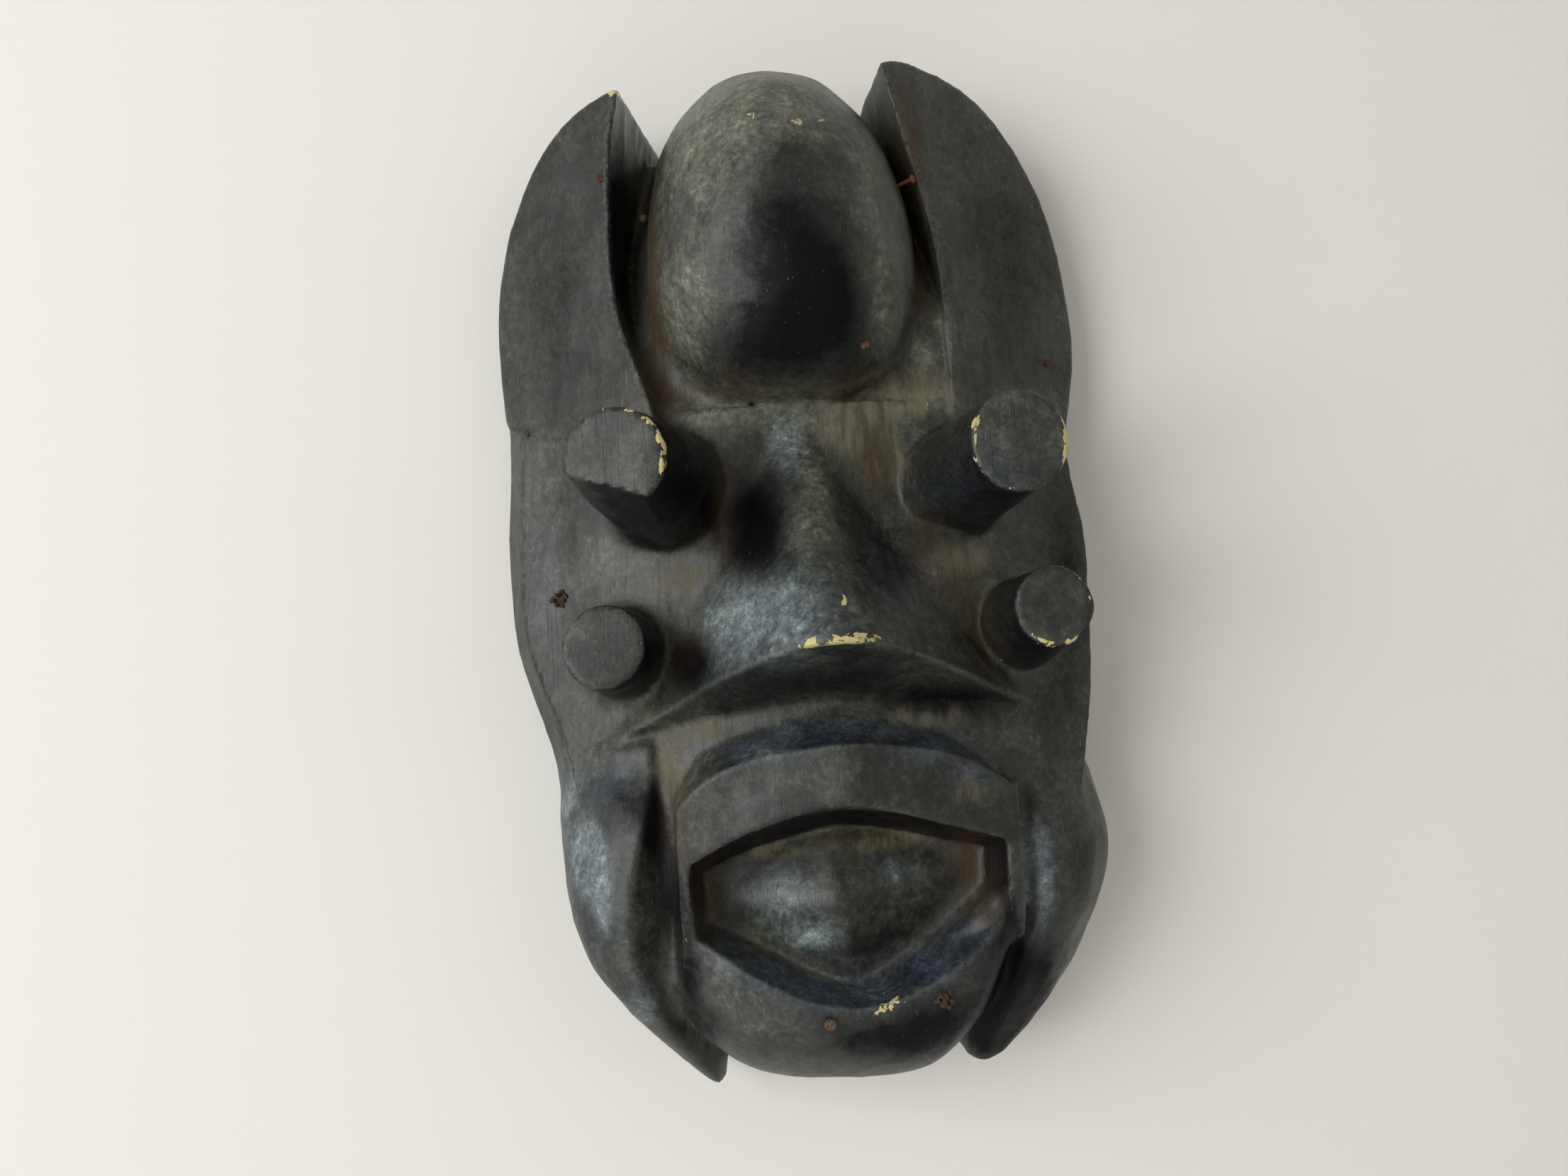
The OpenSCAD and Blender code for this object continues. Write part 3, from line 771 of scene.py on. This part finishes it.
# Pale blue grey of rubbed paint, and of the painted highlights
RUBBED_PALE_AND_HIGHLIGHT = (0.120, 0.148, 0.160)
# Blue grey of the paint, and of the painted reflection
BLUE_GREY_AND_REFLECTION = (0.038, 0.051, 0.074)
# Black of the soot and of the painted shadows and shade
SOOT_AND_SHADE_BLACK = (0.0045, 0.004, 0.006)
DUST_TAN = (0.190, 0.174, 0.116)
BARE_DARK, BARE_BROWN = (0.030, 0.019, 0.012), (0.110, 0.076, 0.044)
# Near black of the painted shade in the hollows
CAVITY_SHADE = (0.006, 0.005, 0.005)
# Grey of rubbed edges, and of the painted highlights on them
EDGE_WEAR_AND_HIGHLIGHT = (0.105, 0.112, 0.100)
SCRATCH_GREY = (0.16, 0.17, 0.15)
CHIP_OCHRE, CHIP_YELLOW = (0.46, 0.37, 0.15), (0.62, 0.54, 0.27)
WOOD_DARK, WOOD_LIGHT = (0.095, 0.058, 0.033), (0.150, 0.098, 0.056)
WOOD_STREAK, WOOD_STAIN = (0.052, 0.034, 0.022), (0.060, 0.045, 0.035)
CRACK_BLACK = (0.010, 0.009, 0.008)

# What the patterns in the paint multiply its colour by
MOTTLE_LIGHT, MOTTLE_DARK = (2.2, 2.2, 1.9), (0.34, 0.32, 0.38)
SPECKLE_LIGHT, SPECKLE_DARK = (2.3, 2.3, 2.1), (0.36, 0.34, 0.38)
STREAK_DARK = (0.45, 0.47, 0.60)


def painted_wood():
    """Weathered black paint on the front and bare wood behind."""
    f = Finish("weathered_black_paint")
    cavity, edge, back = f.layer("cavity"), f.layer("edge"), f.layer("back")
    # Patterns: scale in bumps per metre, detail, roughness and warp
    grain_way = f.stretched(1.0, 1.0, 0.09)
    grain = f.noise(700, 4, 0.6, vector=grain_way)
    streaks = f.noise(150, 5, 0.7, 0.6, vector=f.stretched(1.0, 1.0, 0.16))
    clouds = f.noise(24, 6, 0.7, 0.5)
    mottle = f.noise(85, 7, 0.8, 0.4)
    specks = f.noise(520, 3, 0.7)
    speckle = f.noise(330, 6, 0.85, 0.2)
    torn = f.noise(62, 7, 0.82, 0.5, vector=f.stretched(1.0, 1.0, 0.6))

    # Paint: slate black; greener and bluer patches, partly painted sheen and painted reflection; pale
    # rubbed patches and painted highlights; black soot and painted shadow
    paint = f.mix(f.span(clouds, 0.40, 0.60), SLATE_DARK, SLATE)
    # Worn olive paint, with a painted sheen on the top of the dome
    worn_and_sheen = f.ragged(f.layer("worn_and_sheen"), torn, 1.5)
    paint = f.mix(worn_and_sheen, paint, WORN_OLIVE_AND_SHEEN)
    # Pale rubbed paint, and painted highlights of a window's sheen
    rubbed_and_highlight = f.ragged(f.layer("pale_and_highlight"), torn, 0.9)
    paint = f.mix(rubbed_and_highlight, paint, RUBBED_PALE_AND_HIGHLIGHT)
    # Blue grey patches, and painted reflection on the bands of the lips
    paint = f.mix(f.math("MULTIPLY", f.layer("blue_and_reflection"), 0.85), paint, BLUE_GREY_AND_REFLECTION)
    paint = f.tint(f.span(mottle, 0.51, 0.62, 0, 0.6), paint, MOTTLE_LIGHT)
    paint = f.tint(f.span(mottle, 0.49, 0.38, 0, 0.8), paint, MOTTLE_DARK)
    paint = f.tint(f.span(streaks, 0.54, 0.70, 0, 0.4), paint, STREAK_DARK)
    paint = f.tint(f.span(speckle, 0.51, 0.60, 0, 0.6), paint, SPECKLE_LIGHT)
    paint = f.tint(f.span(speckle, 0.49, 0.39, 0, 0.75), paint, SPECKLE_DARK)
    # Black soot, and painted shadows and shade where the spots put it
    soot_and_shade = f.ragged(f.layer("soot_and_shade"), mottle, 1.3)
    paint = f.mix(soot_and_shade, paint, SOOT_AND_SHADE_BLACK)

    # Dust settles in the hollows, along the grain; the deepest hollows are darkened as painted shade
    dust = f.math("MAXIMUM", f.ragged(f.layer("dust"), torn, 1.6), f.span(cavity, 0.30, 0.75, 0, 0.4))
    dust = f.math("MULTIPLY", dust, f.span(streaks, 0.38, 0.60, 0.2, 1.0))
    dust = f.math("MULTIPLY", dust, f.math("MULTIPLY_ADD", soot_and_shade, -0.85, 1.0))
    paint = f.mix(f.math("MULTIPLY", dust, 0.8), paint, DUST_TAN)
    bare = f.math("MULTIPLY", f.layer("bare"), f.span(streaks, 0.62, 0.42, 0.3, 1.0))
    paint = f.mix(bare, paint, f.mix(streaks, BARE_DARK, BARE_BROWN))
    # Painted shade: the deepest hollows darkened
    paint = f.mix(f.span(cavity, 0.45, 0.95, 0, 0.35), paint, CAVITY_SHADE)

    # Wear and painted highlight: edges lighter, partly rubbed paint and partly painted highlight, and
    # chips down to the yellow wood on the sharpest ones
    wear = f.math("MULTIPLY", f.span(edge, 0.15, 0.50), f.span(specks, 0.40, 0.62))
    paint = f.mix(f.math("MULTIPLY", wear, 0.4), paint, EDGE_WEAR_AND_HIGHLIGHT)
    scratch = f.noise(1100, 2, 0.5, 0.3, vector=f.stretched(1.0, 1.0, 0.12))
    paint = f.mix(f.span(scratch, 0.70, 0.76, 0, 0.5), paint, SCRATCH_GREY)
    raised = f.math("MULTIPLY", f.span(edge, 0.05, 0.40),
                    f.math("MULTIPLY_ADD", f.layer("chipped"), 0.85, 0.15))
    raised = f.math("MAXIMUM", raised, f.math("MULTIPLY", f.layer("flecked"), 0.75))
    raised = f.math("MULTIPLY", raised, 0.38)
    flake = f.noise(240, 4, 0.6, 0.6, vector=f.stretched(1.0, 1.0, 0.55))
    chip = f.span(f.math("ADD", raised, flake), 0.79, 0.81)
    chip = f.math("MULTIPLY", chip, f.span(back, 0.2, 0.6, 1, 0))
    chip_colour = f.mix(grain, CHIP_OCHRE, CHIP_YELLOW)
    paint = f.mix(chip, paint, chip_colour)

    # The back is bare wood, darkened by handling and by the smoke of years
    wood = f.mix(f.span(grain, 0.3, 0.7), WOOD_DARK, WOOD_LIGHT)
    wood = f.mix(f.span(streaks, 0.5, 0.7, 0, 0.6), wood, WOOD_STREAK)
    wood = f.mix(f.span(clouds, 0.45, 0.7, 0, 0.5), wood, WOOD_STAIN)
    colour = f.mix(back, paint, wood)

    cracks = f.noise(230, 2, 0.5, 0.6, vector=f.stretched(1.0, 1.0, 0.035))
    cracks = f.span(f.math("ABSOLUTE", f.math("SUBTRACT", cracks, 0.5)), 0.0, 0.012)
    split = f.math("MULTIPLY_ADD", f.layer("end"), 0.55, 0.08)
    split = f.math("MULTIPLY", f.math("SUBTRACT", 1.0, cracks), split)
    colour = f.mix(split, colour, CRACK_BLACK)

    rough = f.span(mottle, 0.35, 0.65, 0.38, 0.52)
    rough = f.math("ADD", rough, f.math("MULTIPLY", dust, 0.22))
    rough = f.math("ADD", rough, f.math("MULTIPLY", back, 0.22), clamp=True)
    normal = f.bump(grain, 0.00025, 0.2)
    normal = f.bump(mottle, 0.0009, 0.4, normal)
    normal = f.bump(cracks, 0.0003, 0.3, normal)
    normal = f.bump(f.math("SUBTRACT", 1.0, chip), 0.0005, 0.8, normal)
    dull = f.math("MAXIMUM", f.math("MULTIPLY", soot_and_shade, 0.9), f.math("MAXIMUM", dust, bare))
    dull = f.math("MAXIMUM", dull, f.span(cavity, 0.3, 0.8, 0, 0.8))
    f.plug(f.shader.inputs["Specular IOR Level"], f.math("SUBTRACT", 0.5, f.math("MULTIPLY", dull, 0.46)))
    return f.done(colour, rough, normal)


# Colours of the metals
RUST_CRUMB = (0.19, 0.12, 0.07)
ZINC_BRIGHT, ZINC_DULL = (0.46, 0.45, 0.42), (0.22, 0.19, 0.15)
BRASS_BRIGHT, BRASS_DULL = (0.48, 0.34, 0.13), (0.19, 0.12, 0.06)


def rusted_iron(name, dark, bright):
    """Matt flaky rust between a dark and a bright colour."""
    f = Finish(name)
    coarse, fine = f.noise(900, 5, 0.7), f.noise(3500, 4, 0.7)
    colour = f.mix(f.span(coarse, 0.35, 0.65), dark, bright)
    colour = f.mix(f.span(fine, 0.55, 0.7, 0, 0.6), colour, RUST_CRUMB)
    return f.done(colour, f.span(fine, 0.3, 0.7, 0.7, 0.95), f.bump(fine, 0.0004, 0.8), 0.25)


def plated_steel():
    """Zinc-plated steel, dulled in patches."""
    f = Finish("plated_steel")
    wear, fine = f.noise(260, 5, 0.65), f.noise(2600, 3, 0.6)
    colour = f.mix(f.span(wear, 0.45, 0.7), ZINC_BRIGHT, ZINC_DULL)
    return f.done(colour, f.span(wear, 0.3, 0.7, 0.32, 0.62), f.bump(fine, 0.00008, 0.5), 0.95)


def screw_brass():
    """Tarnished brass of the screw heads."""
    f = Finish("screw_brass")
    tarnish, fine = f.noise(700, 5, 0.65), f.noise(3000, 3, 0.6)
    colour = f.mix(f.span(tarnish, 0.40, 0.68), BRASS_BRIGHT, BRASS_DULL)
    return f.done(colour, f.span(tarnish, 0.3, 0.7, 0.30, 0.58), f.bump(fine, 0.00006, 0.5), 0.95)


def plaster(name, colour, see_through):
    """Matt plaster of the stage; a see-through one can't be seen from behind."""
    f = Finish(name)
    clouds, grain = f.noise(1.2, 3, 0.5), f.noise(420, 4, 0.6)
    tone = f.mix(f.span(clouds, 0.3, 0.7, 0, 0.12), colour, tuple(0.93 * c for c in colour))
    f.done(tone, 0.9, f.bump(grain, 0.0002, 0.25))
    if see_through:
        mixer = f.node("ShaderNodeMixShader")
        f.plug(mixer.inputs[0], f.node("ShaderNodeNewGeometry").outputs["Backfacing"])
        f.plug(mixer.inputs[1], f.shader.outputs[0])
        f.plug(mixer.inputs[2], f.node("ShaderNodeBsdfTransparent").outputs[0])
        f.plug(f.tree.nodes["Material Output"].inputs["Surface"], mixer.outputs[0])
    return f.material


# ---- the pieces ----
def placed(name, data):
    """A new object in the scene."""
    made = bpy.data.objects.new(name, data)
    bpy.context.scene.collection.objects.link(made)
    return made


def piece(mesh, material, body, slot, *replaced):
    """A visual piece in place of the CAD nodes it replaces."""
    made = placed(mesh.name, mesh)
    mesh.materials.append(material)
    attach(made, body)
    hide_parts(*replaced)
    return made


def finish_node(node, material):
    """A CAD node whose shape is right keeps it and gets a better material."""
    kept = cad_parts[node]
    kept.data.materials.clear()
    kept.data.materials.append(material)


# Balls of the rust lump: direction, share of the reach, depth below the top, radius
LUMPS = [(0.4, 0.50, 1.7, 1.3), (1.3, 0.62, 2.4, 1.1), (2.3, 0.35, 2.0, 1.4), (3.2, 0.62, 2.6, 1.2),
         (4.1, 0.55, 1.9, 1.0), (5.2, 0.60, 2.9, 1.3), (5.9, 0.30, 1.9, 1.2), (0.0, 0.0, 2.6, 1.2)]
SHANK_RADIUS = 0.9
SHANK_MIDDLE, SHANK_HALF = 8, 7     # middle of the shank below the top of the lump, half its length
RUST_CELL = 0.45


def rust_lump(node, turn):
    """Broken nail, folded over and swollen with rust, inside the box of its CAD node."""
    low, high = (np.array(corner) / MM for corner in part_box(node))
    centre, head = (low + high) / 2, low[1]
    reach = (high[0] - low[0]) / 2

    def field(p):
        q = [p[0] - centre[0], p[1] - head, p[2] - centre[2]]
        body = None
        for way, out, high_up, radius in LUMPS:
            x, z = out * reach * math.cos(way + turn), out * reach * math.sin(way + turn)
            ball = np.sqrt((q[0] - x) ** 2 + (q[1] - high_up) ** 2 + (q[2] - z) ** 2) - radius
            body = ball if body is None else rounded_min(body, ball, 0.7)
        shank = np.maximum(np.hypot(q[0], q[2]) - SHANK_RADIUS, np.abs(q[1] - SHANK_MIDDLE) - SHANK_HALF)
        crust = 0.18 * np.sin(3.1 * q[0] + 1.7 * q[2])
        crust += 0.12 * np.sin(5.3 * q[2] - 4.1 * q[1] + 2 * q[0])
        return rounded_min(body + crust, shank, 0.8)

    vertices, faces = contour(field, low - 0.5, high + 0.5, RUST_CELL)
    return smooth_mesh(node + "_rust", vertices * MM, faces)


piece(carved_mesh(), painted_wood(), "mask", "painted_wood", "carved_mask")
RUST = rusted_iron("rusted_iron", (0.032, 0.015, 0.011), (0.110, 0.048, 0.026))
ORANGE_RUST = rusted_iron("orange_rust", (0.080, 0.030, 0.018), (0.260, 0.095, 0.042))
TAN_RUST = rusted_iron("rubbed_iron", (0.055, 0.038, 0.027), (0.180, 0.120, 0.075))
STEEL, BRASS = plated_steel(), screw_brass()
piece(rust_lump("bent_nail_cheek", 0.0), RUST, "mask", "rusted_iron", "bent_nail_cheek")
piece(rust_lump("bent_nail_chin", 1.9), RUST, "mask", "rusted_iron", "bent_nail_chin")
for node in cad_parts:
    if node in ("nail_left_groove", "nail_chin"):
        finish_node(node, TAN_RUST)
    elif node in ("nail_right_groove", "nail_forehead"):
        finish_node(node, ORANGE_RUST)
    elif node.startswith("nail"):
        finish_node(node, RUST)
    elif "screw" in node:
        finish_node(node, BRASS)
    elif node.startswith("hanger"):
        finish_node(node, STEEL)


# ---- stage, light and camera ----
def sheet(name, corners, material):
    """A flat sheet of the stage."""
    mesh = bpy.data.meshes.new(name)
    mesh.from_pydata(corners, [], [(0, 1, 2, 3)])
    made = placed(name, mesh)
    mesh.materials.append(material)
    return made


WALL_Y = BACK * MM + 0.0003     # a hair behind the mask
FLOOR_Z, WALL_TOP = -1.3, 3.0
REACH = 6.0                     # half the width of the wall and of the floor
wall = sheet("wall", [(-REACH, WALL_Y, FLOOR_Z), (REACH, WALL_Y, FLOOR_Z),
                      (REACH, WALL_Y, WALL_TOP), (-REACH, WALL_Y, WALL_TOP)],
             plaster("wall_plaster", (0.80, 0.79, 0.76), True))
# The wall lets the rear light through, so that the back of the mask can be looked at
wall.visible_shadow = False
sheet("floor", [(-REACH, -REACH, FLOOR_Z), (REACH, -REACH, FLOOR_Z),
                (REACH, REACH, FLOOR_Z), (-REACH, REACH, FLOOR_Z)],
      plaster("floor_plaster", (0.72, 0.71, 0.69), False))

FACE = (0.0, -0.05, -0.196)     # point that the lights are turned to


def soft_light(name, place, size, watts, colour):
    """A square soft light that points at the mask."""
    data = bpy.data.lights.new(name, "AREA")
    data.energy, data.size, data.color = watts, size, colour
    made = placed(name, data)
    made.location = place
    made.rotation_euler = (Vector(FACE) - Vector(place)).to_track_quat("-Z", "Y").to_euler()


# Place, size in metres, watts and colour of each light
soft_light("window", (-1.7, -1.7, 0.05), 1.7, 47, (0.985, 0.99, 0.99))
soft_light("fill", (1.4, -1.8, 0.3), 1.6, 3.5, (1.0, 0.97, 0.90))
soft_light("rear", (0.6, 1.0, 0.25), 0.7, 9, (1.0, 0.98, 0.95))

ROOM_COLOUR = (1.0, 0.975, 0.89, 1)
ROOM_STRENGTH = 0.36
world = bpy.data.worlds.new("room")
world.use_nodes = True
background = world.node_tree.nodes["Background"]
background.inputs["Color"].default_value = ROOM_COLOUR
background.inputs["Strength"].default_value = ROOM_STRENGTH
bpy.context.scene.world = world
bpy.context.scene.view_settings.view_transform = "Standard"

# The camera stands where the photograph was taken, turned a little right, up and askew
LENS = 29.08
CAMERA_PLACE = (-0.0442, -0.57756, -0.2393)
YAW, PITCH, ROLL = math.radians(3.82), math.radians(3.92), math.radians(-4.2)
camera = placed("camera", bpy.data.cameras.new("camera"))
camera.data.lens = LENS
camera.location = CAMERA_PLACE
camera.rotation_mode = "QUATERNION"
ahead = Vector((math.sin(YAW) * math.cos(PITCH), math.cos(YAW) * math.cos(PITCH), math.sin(PITCH)))
level = Vector((math.cos(YAW), -math.sin(YAW), 0))
across_view = math.cos(ROLL) * level + math.sin(ROLL) * level.cross(ahead)
up_view = across_view.cross(ahead)
camera.rotation_quaternion = Matrix((across_view, up_view, -ahead)).transposed().to_quaternion()
bpy.context.scene.camera = camera
